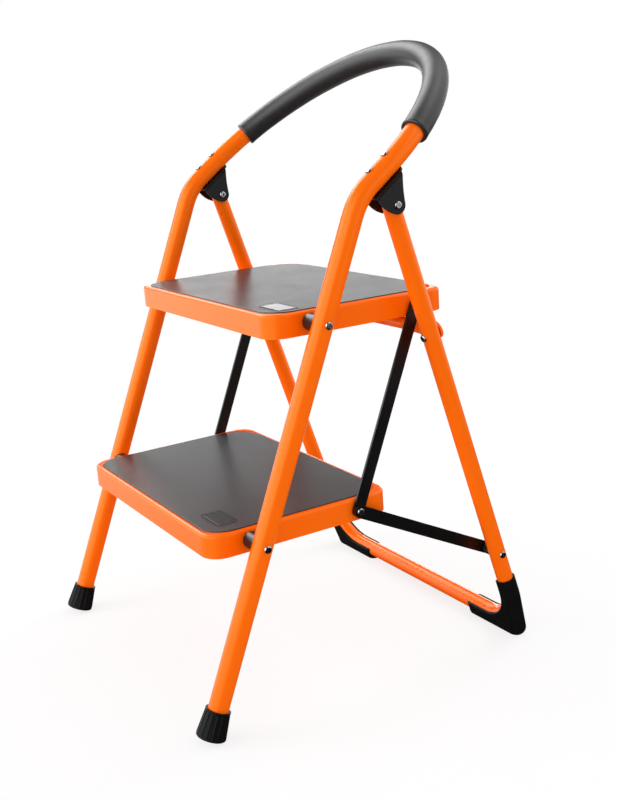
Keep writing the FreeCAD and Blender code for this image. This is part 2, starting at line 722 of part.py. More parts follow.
def rear_frame_tube():
    body = new_body("rear_u", "0", "hinge_y", "hinge_z", "rear_lean")
    spine = rear_spine(body, "rear_path")
    section = new_sketch(body, "rear_section", "XY_Plane", "rear_leg_top")
    circle(section, "-half_spacing", "0", "rear_radius")
    circle(section, "-half_spacing", "0", "rear_radius - rear_tube_wall")
    sweep("AdditivePipe", body, section, spine)
    across = new_sketch(body, "rear_cross_holes", "YZ_Plane")
    circle(across, "0", "0", "rivet_hole")
    circle(across, "0", "-stay_along", "rivet_hole")
    cut_through(body, across)
    through = new_sketch(body, "rear_crossbar_holes", "XZ_Plane")
    for _, side in SIDES:
        circle(through, "%d * half_spacing" % side, "-crossbar_along", "rivet_hole")
    cut_through(body, through)
    keep(body, "rear_frame_tube")


def rear_foot(side_name, side):
    """A boot on a corner of the rear frame: a channel that wraps leg and bar from outside, open inwards."""
    body = new_body("boot_" + side_name, "0", "hinge_y", "hinge_z", "rear_lean")

    def across(rule):
        return "%d * (half_spacing + %s)" % (side, rule)

    rim, lip, sole = "boot_rise - bar_along", "boot_lip - bar_along", "-floor_along"
    outer, inner, tip = across("boot_radius"), across("-boot_lip"), across("-boot_reach")
    toe_x, knee = across("boot_radius - boot_toe_inset"), "boot_knee_rise - bar_along"
    outline = new_sketch(body, "boot_outline_" + side_name, "XZ_Plane")
    polygon(outline, [
        (inner, rim), (outer, rim), (outer, knee), (toe_x, sole), (tip, sole), (tip, lip), (inner, lip),
    ])
    block = extrude("Pad", body, outline, "2 * boot_radius", symmetric=True)

    def corner_at(x, z):
        spot_x, spot_z = number(x), number(z)

        def at_corner(edge):
            middle = edge.CenterOfMass
            return abs(middle.x - spot_x) < 0.01 and abs(middle.z - spot_z) < 0.01
        return at_corner

    crook = round_edges(body, block, "rear_corner_radius - boot_lip", corner_at(inner, lip))
    toe = round_edges(body, crook, "boot_toe_radius", corner_at(toe_x, sole))
    flank = round_edges(body, toe, "boot_knee_radius", corner_at(outer, knee))
    heel = round_edges(body, flank, "boot_heel_radius", corner_at(tip, sole))
    half_thick, rim_level = number("boot_radius"), number(rim)
    leg_x, lip_level = number("half_spacing"), number(lip)

    def on_side(edge):
        box = edge.BoundBox
        return (box.YLength < 0.01 and abs(abs(box.YMin) - half_thick) < 0.01
                and abs(box.ZMin - rim_level) > 0.01)

    def outside(edge):
        middle = edge.CenterOfMass
        return on_side(edge) and (side * middle.x > leg_x or middle.z < lip_level - 0.01)

    def along_lip(edge):
        return on_side(edge) and not outside(edge)

    shell = round_edges(body, heel, "boot_round", outside)
    round_edges(body, shell, "boot_lip_round", along_lip)
    bore = new_sketch(body, "boot_bore_" + side_name, "XY_Plane", "rear_leg_top")
    circle(bore, "-half_spacing", "0", "rear_radius + sleeve_gap")
    sweep("SubtractivePipe", body, bore, rear_spine(body, "boot_path_" + side_name))
    floor = new_sketch(body, "boot_floor_" + side_name, "YZ_Plane")
    level, rise = "-hinge_z / cos(rear_lean)", "2 * boot_radius * tan(rear_lean)"
    polygon(floor, [
        ("-2 * boot_radius", "%s + %s" % (level, rise)),
        ("-2 * boot_radius", "-floor_along - 2 * boot_radius"),
        ("2 * boot_radius", "-floor_along - 2 * boot_radius"),
        ("2 * boot_radius", "%s - %s" % (level, rise)),
    ])
    cut_through(body, floor)
    keep(body, "rear_foot_" + side_name)


def rear_crossbar():
    """A round tube whose ends are pressed flat against the backs of the rear legs."""
    half_flat = number("crossbar_flat_sheet / 2")
    half_tall = number("crossbar_flat_height / 2")
    radius, wall = number("crossbar_dia / 2"), number("crossbar_wall")
    end = number("half_spacing + crossbar_overhang")
    flat_start = end - number("crossbar_flat_length")
    round_end = flat_start - number("crossbar_crimp_length")

    def section(x, corner_y, corner_z, side_y, end_z):
        """A closed section with a side to the front and back and an end above and below."""
        top_rear, top_front = Vector(x, corner_y, corner_z), Vector(x, -corner_y, corner_z)
        low_rear, low_front = Vector(x, corner_y, -corner_z), Vector(x, -corner_y, -corner_z)

        def side(start, finish, bulge):
            if abs(bulge) > corner_y:
                return Part.Arc(start, Vector(x, bulge, 0), finish).toShape()
            return Part.LineSegment(start, finish).toShape()

        return Part.Wire([
            side(low_rear, top_rear, side_y),
            Part.Arc(top_rear, Vector(x, 0, end_z), top_front).toShape(),
            side(top_front, low_front, -side_y),
            Part.Arc(low_front, Vector(x, 0, -end_z), low_rear).toShape(),
        ])

    diagonal = radius * 0.5 ** 0.5
    middle = Part.makeCylinder(radius, 2 * round_end, Vector(-round_end, 0, 0), Vector(1, 0, 0))
    hollow = Part.makeCylinder(radius - wall, 2 * round_end, Vector(-round_end, 0, 0), Vector(1, 0, 0))
    bar = middle.cut(hollow)
    for _, side in SIDES:
        round_section = section(side * round_end, diagonal, diagonal, radius, radius)
        flat_section = section(side * flat_start, half_flat, half_tall - half_flat, half_flat, half_tall)
        crimp = Part.makeLoft([round_section, flat_section], True, True)
        tongue = Part.Face(flat_section).extrude(Vector(side * (end - half_tall - flat_start), 0, 0))
        tip = Part.makeCylinder(half_tall, 2 * half_flat,
                                Vector(side * (end - half_tall), -half_flat, 0), Vector(0, 1, 0))
        hole = Part.makeCylinder(number("rivet_hole"), 4 * half_flat,
                                 Vector(side * number("half_spacing"), -2 * half_flat, 0),
                                 Vector(0, 1, 0))
        bar = bar.fuse([crimp, tongue, tip]).cut(hole)
    piece = doc.addObject("Part::Feature", "crossbar")
    piece.Shape = bar.removeSplitter()
    place(piece, "0", "crossbar_y", "crossbar_z", "rear_lean")
    keep(piece, "rear_crossbar")


def rear_fasteners():
    """Rivets of the crossbar and the stays, the stays' spacers and the plugs in the leg tops."""
    crossbar_rivets, spacers, anchors, plugs = [], [], [], []
    for side_name, side in SIDES:
        x = "%d * half_spacing" % side
        crossbar_rivets.append(rivet(
            "crossbar_rivet_" + side_name, "Z", "0", "rear_tube_dia + crossbar_flat_sheet",
            ("start", "finish"),
            (x, "hinge_y + crossbar_along * sin(rear_lean) - rear_radius * cos(rear_lean)",
             "hinge_z - crossbar_along * cos(rear_lean) - rear_radius * sin(rear_lean)"),
            "rear_lean - 90"))
        blank = ring("stay_spacer_blank_" + side_name, side, "stay_out + run_gap", "half_spacing",
                     "spacer_dia", "spacer_chamfer", "anchor_y", "anchor_z")
        leg = leg_at("stay_leg_" + side_name, side, "rear_radius", "anchor_y", "anchor_z", "rear_lean")
        spacers.append(cut("stay_spacer_" + side_name, blank, leg))
        anchors.append(rivet(
            "stay_anchor_" + side_name, "X", "%d * (stay_out + run_gap)" % side,
            "%d * (half_spacing + rear_radius)" % side, ("finish",), ("0", "anchor_y", "anchor_z")))
        body = new_body("plug_" + side_name, x, "hinge_y", "hinge_z", "rear_lean")
        profile = new_sketch(body, "plug_profile_" + side_name, "XZ_Plane")
        stem, head_top = "rear_radius - rear_tube_wall - sleeve_gap", "rear_leg_top + plug_head"
        polygon(profile, [
            ("0", "rear_leg_top - plug_stem"), (stem, "rear_leg_top - plug_stem"),
            (stem, "rear_leg_top"), ("rear_radius", "rear_leg_top"),
            ("rear_radius", head_top + " - plug_head / 2"), ("rear_radius - plug_head / 2", head_top),
            ("0", head_top),
        ])
        revolve(body, profile, "V_Axis")
        plugs.append(body)
    keep(joined("Compound", "crossbar_rivet_set", crossbar_rivets), "crossbar_rivets")
    keep(joined("Compound", "stay_spacer_set", spacers), "stay_spacers")
    keep(joined("Compound", "stay_anchor_set", anchors), "stay_anchor_rivets")
    keep(joined("Compound", "plug_set", plugs), "rear_leg_plugs")


def step_pan(level, y, z):
    """A pressed tray: deep side walls, a rolled edge and a shallow recess for the mat."""
    body = new_body(level + "_tray", "0", y, z, "step_slope")
    blank = new_sketch(body, level + "_tray_blank", "XY_Plane", "pivot_below_top")
    rounded_outline(blank, "pan_half", "-pan_front", "pan_rear", "pan_corner_radius", "pan_corner_radius")
    block = extrude("Pad", body, blank, "pan_height", reverse=True)
    top = number("pivot_below_top")

    def on_top(edge):
        return abs(edge.BoundBox.ZMin - top) < 0.01

    round_edges(body, block, "pan_edge_radius", on_top)
    recess = new_sketch(body, level + "_tray_recess", "XY_Plane", "pivot_below_top")
    rounded_outline(recess, "(pan_half - rim_width)", "rim_width - pan_front", "pan_rear - rim_width",
                    "recess_radius", "recess_radius")
    extrude("Pocket", body, recess, "recess_depth")
    hollow = new_sketch(body, level + "_tray_hollow", "XY_Plane", "pivot_below_top - pan_height")
    rounded_outline(hollow, "(pan_half - pan_sheet)", "pan_sheet - pan_front", "pan_rear - pan_sheet",
                    "pan_corner_radius - pan_sheet", "pan_corner_radius - pan_sheet")
    extrude("Pocket", body, hollow, "pan_height - recess_depth - pan_sheet", reverse=True)
    holes = new_sketch(body, level + "_tray_holes", "YZ_Plane")
    circle(holes, "0", "0", "rivet_hole")
    circle(holes, "link_reach", "-link_drop", "rivet_hole")
    cut_through(body, holes)
    keep(body, level + "_step_pan")


def step_mat(level, y, z):
    """The rubber mat in the tray's recess, cut rounder at its rear corners."""
    body = new_body(level + "_mat", "0", y, z, "step_slope")
    sketch = new_sketch(body, level + "_mat_outline", "XY_Plane", "pivot_below_top - recess_depth")
    rounded_outline(sketch, "(pan_half - rim_width - mat_gap)", "rim_width + mat_gap - pan_front",
                    "pan_rear - rim_width - mat_gap", "recess_radius - mat_gap", "mat_rear_radius")
    slab = extrude("Pad", body, sketch, "mat_thickness")
    top = number("pivot_below_top - recess_depth + mat_thickness")

    def on_top(edge):
        return abs(edge.BoundBox.ZMin - top) < 0.01

    round_edges(body, slab, "mat_edge_radius", on_top)
    keep(body, level + "_step_mat")


def step_brace(level, y, z, along, bottom):
    """A hat-section channel across the underside of a tray."""
    body = new_body(level + "_channel", "0", y, z, "step_slope")
    sketch = new_sketch(body, level + "_channel_section", "YZ_Plane")
    half, top, wall = "brace_width / 2", "under_sheet", "brace_sheet"

    def mirrored(points):
        return [("%s - (%s)" % (along, off), level_rule) for off, level_rule in points[::-1]]

    edge = [
        ("%s - %s" % (half, wall), "%s + %s" % (bottom, wall)),
        ("%s - %s" % (half, wall), top),
        ("%s + brace_flange" % half, top),
        ("%s + brace_flange" % half, "%s - %s" % (top, wall)),
        (half, "%s - %s" % (top, wall)),
        (half, bottom),
    ]
    polygon(sketch, [("%s + %s" % (along, off), level_rule) for off, level_rule in edge] + mirrored(edge))
    extrude("Pad", body, sketch, "brace_length", symmetric=True)
    keep(body, level + "_step_brace")


def link_rivets(level, y, z, seat):
    """Rivets through a tray's side walls that carry the flat bars, with a washer under each bar."""
    pivot_y, pivot_z = y + " + link_dy", z + " + link_dz"
    rivets, washers = [], []
    for side_name, side in SIDES:
        name = "%s_link_%s" % (level, side_name)
        rivets.append(rivet(
            name + "_rivet", "X", "%d * (pan_half - pan_sheet)" % side, "%d * (%s)" % (side, seat),
            ("start", "finish"), ("0", pivot_y, pivot_z)))
        washers.append(ring(name + "_washer", side, "pan_half", "pan_half + washer_sheet",
                            "washer_dia", "washer_sheet / 4", pivot_y, pivot_z))
    keep(joined("Compound", level + "_link_rivet_set", rivets), level + "_link_rivets")
    keep(joined("Compound", level + "_link_washer_set", washers), level + "_link_washers")


def flat_bar(name, side, inner, outer, spot, turn, length):
    """A flat bar with round ends and a rivet hole at each end."""
    body = new_body(name + "_bar", inner if side > 0 else "-" + outer, *spot, turn)
    outline = new_sketch(body, name + "_outline", "YZ_Plane")
    slot(outline, length, "bar_radius")
    extrude("Pad", body, outline, "bar_sheet")
    holes = new_sketch(body, name + "_holes", "YZ_Plane")
    circle(holes, "0", "0", "rivet_hole")
    circle(holes, length, "0", "rivet_hole")
    cut_through(body, holes)
    keep(body, name)


def flat_bars():
    """Lift links between the two steps, and stays from the lower step to the rear legs."""
    for side_name, side in SIDES:
        flat_bar("lift_link_" + side_name, side, "link_in", "link_out",
                 ("upper_y + link_dy", "upper_pivot_height + link_dz"), "-90 - front_lean", "link_length")
        flat_bar("stay_" + side_name, side, "stay_in", "stay_out", ("stay_y", "stay_z"), "stay_turn",
                 "stay_length")
        keep(rivet("stay_end_" + side_name, "X", "%d * stay_in" % side, "%d * stay_out" % side,
                   ("start",), ("0", "anchor_y", "anchor_z")), "stay_end_rivet_" + side_name)


def build():
    fill_sheet()
    front_frame_tube()
    handrail_foam()
    for side_name, side in SIDES:
        front_foot(side_name, side)
        hinge_bracket(side_name, side)
        rear_foot(side_name, side)
    frame_rivets()
    rear_frame_tube()
    rear_crossbar()
    rear_fasteners()
    steps = (("upper", "upper_y", "upper_pivot_height", "rest_along", "rest_level", "link_out + run_gap"),
             ("lower", "lower_y", "lower_pivot_height", "lower_brace_along", "lower_brace_level",
              "stay_out + run_gap"))
    for level, y, z, brace_along, brace_bottom, seat in steps:
        step_pivots(level, y, z)
        step_pan(level, y, z)
        step_mat(level, y, z)
        step_brace(level, y, z, brace_along, brace_bottom)
        link_rivets(level, y, z, seat)
    flat_bars()
    doc.recompute()


def check():
    """Stop if an object failed, a cut removed nothing or a sub-part is not sound."""
    for thing in doc.Objects:
        if "Invalid" in thing.State or "Error" in thing.State:
            raise RuntimeError("%s: %s" % (thing.Name, thing.State))
        if thing.TypeId in ("PartDesign::Pocket", "PartDesign::SubtractivePipe"):
            if thing.Shape.Volume > thing.BaseFeature.Shape.Volume - 1e-3:
                raise RuntimeError(thing.Name + " cuts nothing")
    for thing in sub_parts:
        if thing.Shape.isNull() or not thing.Shape.isValid() or not thing.Shape.Solids:
            raise RuntimeError(thing.Label + " is not a sound solid")


build()
check()
os.makedirs("parts", exist_ok=True)
for thing in sub_parts:
    thing.Shape.exportStep("parts/%s.step" % thing.Label)
    print("%-22s %d solid(s) %10.0f mm3" % (thing.Label, len(thing.Shape.Solids), thing.Shape.Volume))
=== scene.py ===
"""Looks of the two-step folding ladder: finishes, foam grip, ferrule ribs, mat patches, light, camera."""
import json
from math import cos, pi, radians, sin, tan, tau
import bmesh
import bpy
from mathutils import Matrix, Vector, noise


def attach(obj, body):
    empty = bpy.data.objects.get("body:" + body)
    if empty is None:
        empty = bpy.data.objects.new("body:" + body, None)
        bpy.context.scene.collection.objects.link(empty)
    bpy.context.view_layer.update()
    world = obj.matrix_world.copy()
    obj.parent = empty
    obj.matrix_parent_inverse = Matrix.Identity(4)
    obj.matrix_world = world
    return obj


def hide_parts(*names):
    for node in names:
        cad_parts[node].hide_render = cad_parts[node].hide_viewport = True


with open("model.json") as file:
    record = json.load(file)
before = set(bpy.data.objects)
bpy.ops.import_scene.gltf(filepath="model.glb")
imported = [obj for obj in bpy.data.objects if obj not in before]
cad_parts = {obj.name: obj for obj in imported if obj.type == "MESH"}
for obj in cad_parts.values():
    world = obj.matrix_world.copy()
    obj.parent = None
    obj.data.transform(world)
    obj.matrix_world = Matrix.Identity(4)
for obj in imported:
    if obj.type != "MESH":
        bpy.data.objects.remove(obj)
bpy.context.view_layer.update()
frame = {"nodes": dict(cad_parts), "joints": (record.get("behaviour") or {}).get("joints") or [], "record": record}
bpy.context.scene.view_settings.view_transform = "Standard"

# The ladder's own lines, in metres and degrees, as its CAD model has them
JOINT_AT = {joint["name"]: Vector(joint["pos_m"]) for joint in frame["joints"]}
UPPER_PIVOT = JOINT_AT["upper_step_fold"]
LOWER_PIVOT = JOINT_AT["lower_step_fold"]
HALF_SPACING = 0.22
FRONT_LEAN = 20.5
LEG_LENGTH = 0.646
HANDLE_LEAN = 51
HANDLE_STRAIGHT = 0.053
STEP_SLOPE = 2
MAT_TOP = 0.014
FRONT_GROUND = Vector((0, UPPER_PIVOT.y - UPPER_PIVOT.z * tan(radians(FRONT_LEAN)), 0))


def leaning(degrees):
    """The way up along a tube that leans back."""
    return Vector((0, sin(radians(degrees)), cos(radians(degrees))))


ARCH_CENTRE = FRONT_GROUND + leaning(FRONT_LEAN) * LEG_LENGTH + leaning(HANDLE_LEAN) * HANDLE_STRAIGHT

# The photograph's height and the fitted camera's focal length in pixels, its sensor in millimetres,
# and its place and angles in metres and degrees
PHOTO_TALL = 800
CAMERA_FOCAL_PIXELS = 1090.35
CAMERA_SENSOR = 36
CAMERA_EYE = FRONT_GROUND + Vector((1.25712, -0.46585, 0.68012))
CAMERA_AZIMUTH = 59.233
CAMERA_ELEVATION = 13.843
CAMERA_ROLL = -2.312


class Wire:
    """A node's output. Sums on it add Math nodes to its tree."""

    def __init__(self, tree, socket):
        self.tree = tree
        self.socket = socket

    def math(self, operation, *terms):
        return self.tree.node("ShaderNodeMath", {"operation": operation}, dict(enumerate(terms)))

    def __add__(self, other):
        return self.math("ADD", self, other)

    def __sub__(self, other):
        return self.math("SUBTRACT", self, other)

    def __rsub__(self, other):
        return self.math("SUBTRACT", other, self)

    def __mul__(self, other):
        return self.math("MULTIPLY", self, other)

    def __truediv__(self, other):
        return self.math("DIVIDE", self, other)

    def __pow__(self, other):
        return self.math("POWER", self, other)

    __radd__ = __add__
    __rmul__ = __mul__

    def lower_of(self, other):
        return self.math("MINIMUM", self, other)

    def higher_of(self, other):
        return self.math("MAXIMUM", self, other)

    def step(self, low, high):
        """0 below low, 1 above high, smooth between."""
        sockets = {"Value": self, "From Min": low, "From Max": high}
        return self.tree.node("ShaderNodeMapRange", {"interpolation_type": "SMOOTHSTEP"}, sockets)


class Tree:
    """A tree of nodes that node() fills."""

    def __init__(self, tree):
        self.tree = tree
        tree.nodes.clear()

    def node(self, kind, settings=None, sockets=None, out=0):
        """Add a node: its settings first, then the values or wires of its sockets."""
        made = self.tree.nodes.new(kind)
        for name, value in (settings or {}).items():
            setattr(made, name, value)
        for key, value in (sockets or {}).items():
            if isinstance(value, Wire):
                self.tree.links.new(value.socket, made.inputs[key])
            else:
                made.inputs[key].default_value = value
        return Wire(self, made.outputs[out]) if made.outputs else made

    def place(self):
        """Where a point of the surface is, in metres."""
        return self.node("ShaderNodeTexCoord", out="Object")

    def clouds(self, scale, detail=2, rough=0.5, stretch=None):
        """Soft noise from 0 to 1, its scale in waves per metre."""
        place = self.place()
        if stretch:
            place = self.node("ShaderNodeMapping", {}, {"Vector": place, "Scale": stretch})
        sockets = {"Vector": place, "Scale": scale, "Detail": detail, "Roughness": rough}
        return self.node("ShaderNodeTexNoise", {}, sockets)

    def cells(self, scale):
        """Distance to the nearest of many scattered points, in cell sizes."""
        return self.node("ShaderNodeTexVoronoi", {}, {"Vector": self.place(), "Scale": scale})

    def blend(self, share, first, second):
        """One colour to another."""
        settings = {"data_type": "RGBA", "clamp_factor": True}
        return self.node("ShaderNodeMix", settings, {0: share, 6: first, 7: second}, out=2)

    def relief(self, height):
        """A normal bent by a height in millimetres."""
        return self.node("ShaderNodeBump", {}, {"Strength": 1, "Distance": 0.001, "Height": height})


def colour(red, green, blue):
    """A shader colour from the 0 to 255 values of a picture."""
    def linear(value):
        share = value / 255
        return share / 12.92 if share <= 0.04045 else ((share + 0.055) / 1.055) ** 2.4
    return (linear(red), linear(green), linear(blue), 1)


def new_finish(name):
    """A material and the empty tree of its nodes."""
    material = bpy.data.materials.new(name)
    material.use_nodes = True
    return material, Tree(material.node_tree)


def coat(tree, **sockets):
    """End a finish in one shader, its sockets named with _ for spaces."""
    named = {key.replace("_", " "): value for key, value in sockets.items()}
    shader = tree.node("ShaderNodeBsdfPrincipled", {}, named)
    tree.node("ShaderNodeOutputMaterial", {}, {"Surface": shader})


def orange_powder_coat():
    """Baked powder paint: even colour, a faint orange peel and a few rubbed, duller places."""
    material, tree = new_finish("orange_powder_coat")
    drift = tree.clouds(9, detail=3)
    peel = tree.clouds(420, detail=1)
    flow = tree.clouds(90, detail=2)
    rubbed = tree.clouds(26, detail=5, rough=0.65).step(0.52, 0.8)
    speck = tree.cells(1500).step(0.08, 0.0)
    shade = (drift * 0.5 + flow * 0.2 + speck * 0.25).lower_of(1)
    coat(tree,
         Base_Color=tree.blend(shade, colour(255, 108, 0), colour(252, 101, 0)),
         Roughness=0.17 + 0.05 * drift + 0.1 * rubbed,
         Specular_IOR_Level=0.4,
         Specular_Tint=(1, 0.97, 0.42, 1),
         Normal=tree.relief(0.003 * peel + 0.02 * flow))
    return material


def black_satin_paint():
    """Thin black paint on sheet and flat bar, with lighter rub marks along the bars."""
    material, tree = new_finish("black_satin_paint")
    peel = tree.clouds(600, detail=1)
    drift = tree.clouds(14, detail=3)
    rub = tree.clouds(60, detail=6, rough=0.7, stretch=(1, 0.35, 1)).step(0.6, 0.85)
    coat(tree,
         Base_Color=tree.blend(0.5 * drift + 0.5 * rub, colour(3, 3, 4), colour(13, 13, 15)),
         Roughness=0.3 + 0.12 * drift + 0.16 * rub,
         Normal=tree.relief(0.03 * peel))
    return material


def foot_rubber():
    """Moulded rubber: fine grain, a dusty bloom in places, scuffs."""
    material, tree = new_finish("foot_rubber")
    grain = tree.clouds(1400, detail=2)
    bloom = tree.clouds(34, detail=4, rough=0.6)
    scuff = tree.clouds(120, detail=6, rough=0.75).step(0.58, 0.8)
    coat(tree,
         Base_Color=tree.blend(0.6 * bloom + 0.4 * scuff, colour(12, 12, 12), colour(25, 25, 26)),
         Roughness=0.38 + 0.12 * bloom + 0.14 * scuff,
         Specular_IOR_Level=0.09,
         Normal=tree.relief(0.05 * grain + 0.02 * scuff))
    return material


def mat_rubber():
    """Rubber sheet: pebbled skin, cloudy sheen and slight waves from lying in its tray."""
    material, tree = new_finish("mat_rubber")
    pebble = tree.cells(1100)
    clouds = tree.clouds(22, detail=5, rough=0.6)
    waves = tree.clouds(11, detail=2)
    streak = tree.clouds(40, detail=5, rough=0.7, stretch=(0.5, 1.6, 1))
    dust = tree.cells(160).step(0.05, 0.0)
    tone = (0.55 * clouds + 0.3 * streak + 0.5 * dust).lower_of(1)
    coat(tree,
         Base_Color=tree.blend(tone, colour(24, 24, 25), colour(42, 42, 43)),
         Roughness=0.27 + 0.11 * clouds + 0.05 * streak,
         Normal=tree.relief(0.04 * pebble + 0.3 * waves + 0.05 * streak))
    return material


def patch_rubber():
    """The mats' smooth blank patches."""
    material, tree = new_finish("patch_rubber")
    smear = tree.clouds(150, detail=4, rough=0.6)
    coat(tree,
         Base_Color=tree.blend(smear, colour(54, 54, 55), colour(72, 72, 73)),
         Roughness=0.15 + 0.08 * smear,
         Normal=tree.relief(0.02 * smear))
    return material


def grip_foam():
    """Closed-cell foam: pinhole skin, soft mottling."""
    material, tree = new_finish("grip_foam")
    pores = tree.cells(1300).step(0.0, 0.55)
    skin = tree.clouds(70, detail=4, rough=0.6)
    drift = tree.clouds(12, detail=2)
    coat(tree,
         Base_Color=tree.blend(0.5 * skin + 0.5 * drift, colour(28, 28, 29), colour(44, 44, 45)),
         Roughness=0.36 + 0.12 * skin,
         Specular_IOR_Level=0.6,
         Normal=tree.relief(0.03 * pores + 0.05 * skin))
    return material


def black_plastic():
    """Moulded bushes, spacers and plugs."""
    material, tree = new_finish("black_plastic")
    grain = tree.clouds(900, detail=2)
    cast = tree.clouds(50, detail=3)
    coat(tree,
         Base_Color=tree.blend(cast, colour(14, 14, 15), colour(30, 30, 31)),
         Roughness=0.26 + 0.14 * cast,
         Normal=tree.relief(0.02 * grain))
    return material


def zinc_steel():
    """Zinc plate on rivets and washers: bright, with dull spots and fine scratches."""
    material, tree = new_finish("zinc_steel")
    spangle = tree.cells(420)
    stain = tree.clouds(160, detail=4, rough=0.6)
    scratch = tree.clouds(700, detail=3, stretch=(1, 6, 1))
    coat(tree,
         Base_Color=tree.blend(stain.step(0.35, 0.75), colour(214, 214, 216), colour(150, 151, 154)),
         Metallic=1,
         Roughness=0.12 + 0.1 * spangle + 0.08 * stain,
         Normal=tree.relief(0.008 * scratch))
    return material


FINISHES = {
    "orange_paint": orange_powder_coat(),
    "black_paint": black_satin_paint(),
    "foot_rubber": foot_rubber(),
    "mat_rubber": mat_rubber(),
    "grip_foam": grip_foam(),
    "black_plastic": black_plastic(),
    "zinc_steel": zinc_steel(),
}
PATCH_FINISH = patch_rubber()


def dress_cad_pieces():
    """Give every CAD piece the finish of its slot in the record."""
    for part in frame["record"]["subparts"]:
        mesh = frame["nodes"][part["node"]].data
        mesh.materials.clear()
        mesh.materials.append(FINISHES[part["material_slot"]])


def new_piece(name, mesh, body):
    """Put a finished mesh in the scene as a piece that moves with a body."""
    piece = bpy.data.objects.new(name, mesh)
    bpy.context.scene.collection.objects.link(piece)
    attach(piece, body)
    return piece


def smooth(mesh, sharp_angle=None):
    """Shade a mesh smooth, with its edges sharp where they turn by more than an angle."""
    mesh.shade_smooth()
    if sharp_angle:
        mesh.set_sharp_from_angle(angle=radians(sharp_angle))


def foam_sleeve():
    """The grip: foam pushed over the arch, with soft lips at its cut ends."""
    radius, bore = 0.0165, 0.0126
    near, far = radians(15), pi - radians(16.8)
    rings, bore_rings, spokes = 220, 60, 56
    # Each ring of a lip: its distance from the cut end, and its radius
    lip = ((0, 0.0150), (0.0003, 0.0159), (0.0010, 0.0166), (0.0022, 0.01685), (0.0045, 0.0167))
    lip_length = 0.008
    # The skin's unevenness: waves per metre and their height, and how flat the bend presses its inside
    swell, ripple = (28, 0.00022), (90, 0.00006)
    squeeze = 0.0004
    across = Vector((1, 0, 0))
    along = leaning(HANDLE_LEAN)
    normal = across.cross(along)
    span = far - near
    lip_end = lip_length / HALF_SPACING
    stations = [(near, bore)]
    stations += [(near + run / HALF_SPACING, size) for run, size in lip]
    for i in range(rings + 1):
        stations.append((near + lip_end + (span - 2 * lip_end) * i / rings, radius))
    stations += [(far - run / HALF_SPACING, size) for run, size in reversed(lip)]
    stations += [(far - span * i / bore_rings, bore) for i in range(bore_rings)]
    mesh = bmesh.new()
    loops = []
    for turn, size in stations:
        out = across * cos(turn) + along * sin(turn)
        centre = ARCH_CENTRE + out * HALF_SPACING
        loop = []
        for k in range(spokes):
            angle = tau * k / spokes
            reach = size
            if size > bore:
                spot = centre + (out * cos(angle) + normal * sin(angle)) * radius
                uneven = sum(noise.noise(spot * scale) * height for scale, height in (swell, ripple))
                pressed = max(0, -cos(angle)) ** 2 * squeeze * sin(turn)
                reach += uneven - pressed
            offset = out * (cos(angle) * reach) + normal * (sin(angle) * reach)
            loop.append(mesh.verts.new(centre + offset))
        loops.append(loop)
    for loop, after in zip(loops, loops[1:] + loops[:1]):
        for k in range(spokes):
            m = (k + 1) % spokes
            mesh.faces.new((loop[k], loop[m], after[m], after[k]))
    bmesh.ops.recalc_face_normals(mesh, faces=mesh.faces)
    done = bpy.data.meshes.new("foam_grip")
    mesh.to_mesh(done)
    mesh.free()
    smooth(done, sharp_angle=50)
    done.materials.append(FINISHES["grip_foam"])
    grip = new_piece("foam_grip", done, "front_frame")
    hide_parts("handrail_foam")


def node_tree(name, sizes):
    """A Geometry Nodes tree with named inputs, its Tree and the wires of those inputs."""
    group = bpy.data.node_groups.new(name, "GeometryNodeTree")
    tree = Tree(group)
    group.interface.new_socket("Geometry", in_out="OUTPUT", socket_type="NodeSocketGeometry")
    for label, kind in sizes:
        group.interface.new_socket(label, in_out="INPUT", socket_type="NodeSocket" + kind)
    source = group.nodes.new("NodeGroupInput")
    return group, tree, {label: Wire(tree, source.outputs[label]) for label, _ in sizes}


def end_tree(tree, instances, finish):
    """Realize what a tree has made, give it its finish and end the tree there."""
    real = tree.node("GeometryNodeRealizeInstances", {}, {"Geometry": instances})
    done = tree.node("GeometryNodeSetMaterial", {}, {"Geometry": real, "Material": finish})
    tree.node("NodeGroupOutput", {}, {0: done})


def grown_mesh(name, group, values, spot):
    """The plain mesh that a tree makes with these input values, moved to its spot."""
    seed = bpy.data.objects.new(name, bpy.data.meshes.new(name + "_seed"))
    bpy.context.scene.collection.objects.link(seed)
    modifier = seed.modifiers.new(name, "NODES")
    modifier.node_group = group
    for item in group.interface.items_tree:
        if item.in_out == "INPUT" and item.name in values:
            modifier[item.identifier] = values[item.name]
    graph = bpy.context.evaluated_depsgraph_get()
    mesh = bpy.data.meshes.new_from_object(seed.evaluated_get(graph))
    bpy.data.objects.remove(seed)
    mesh.transform(spot)
    return mesh


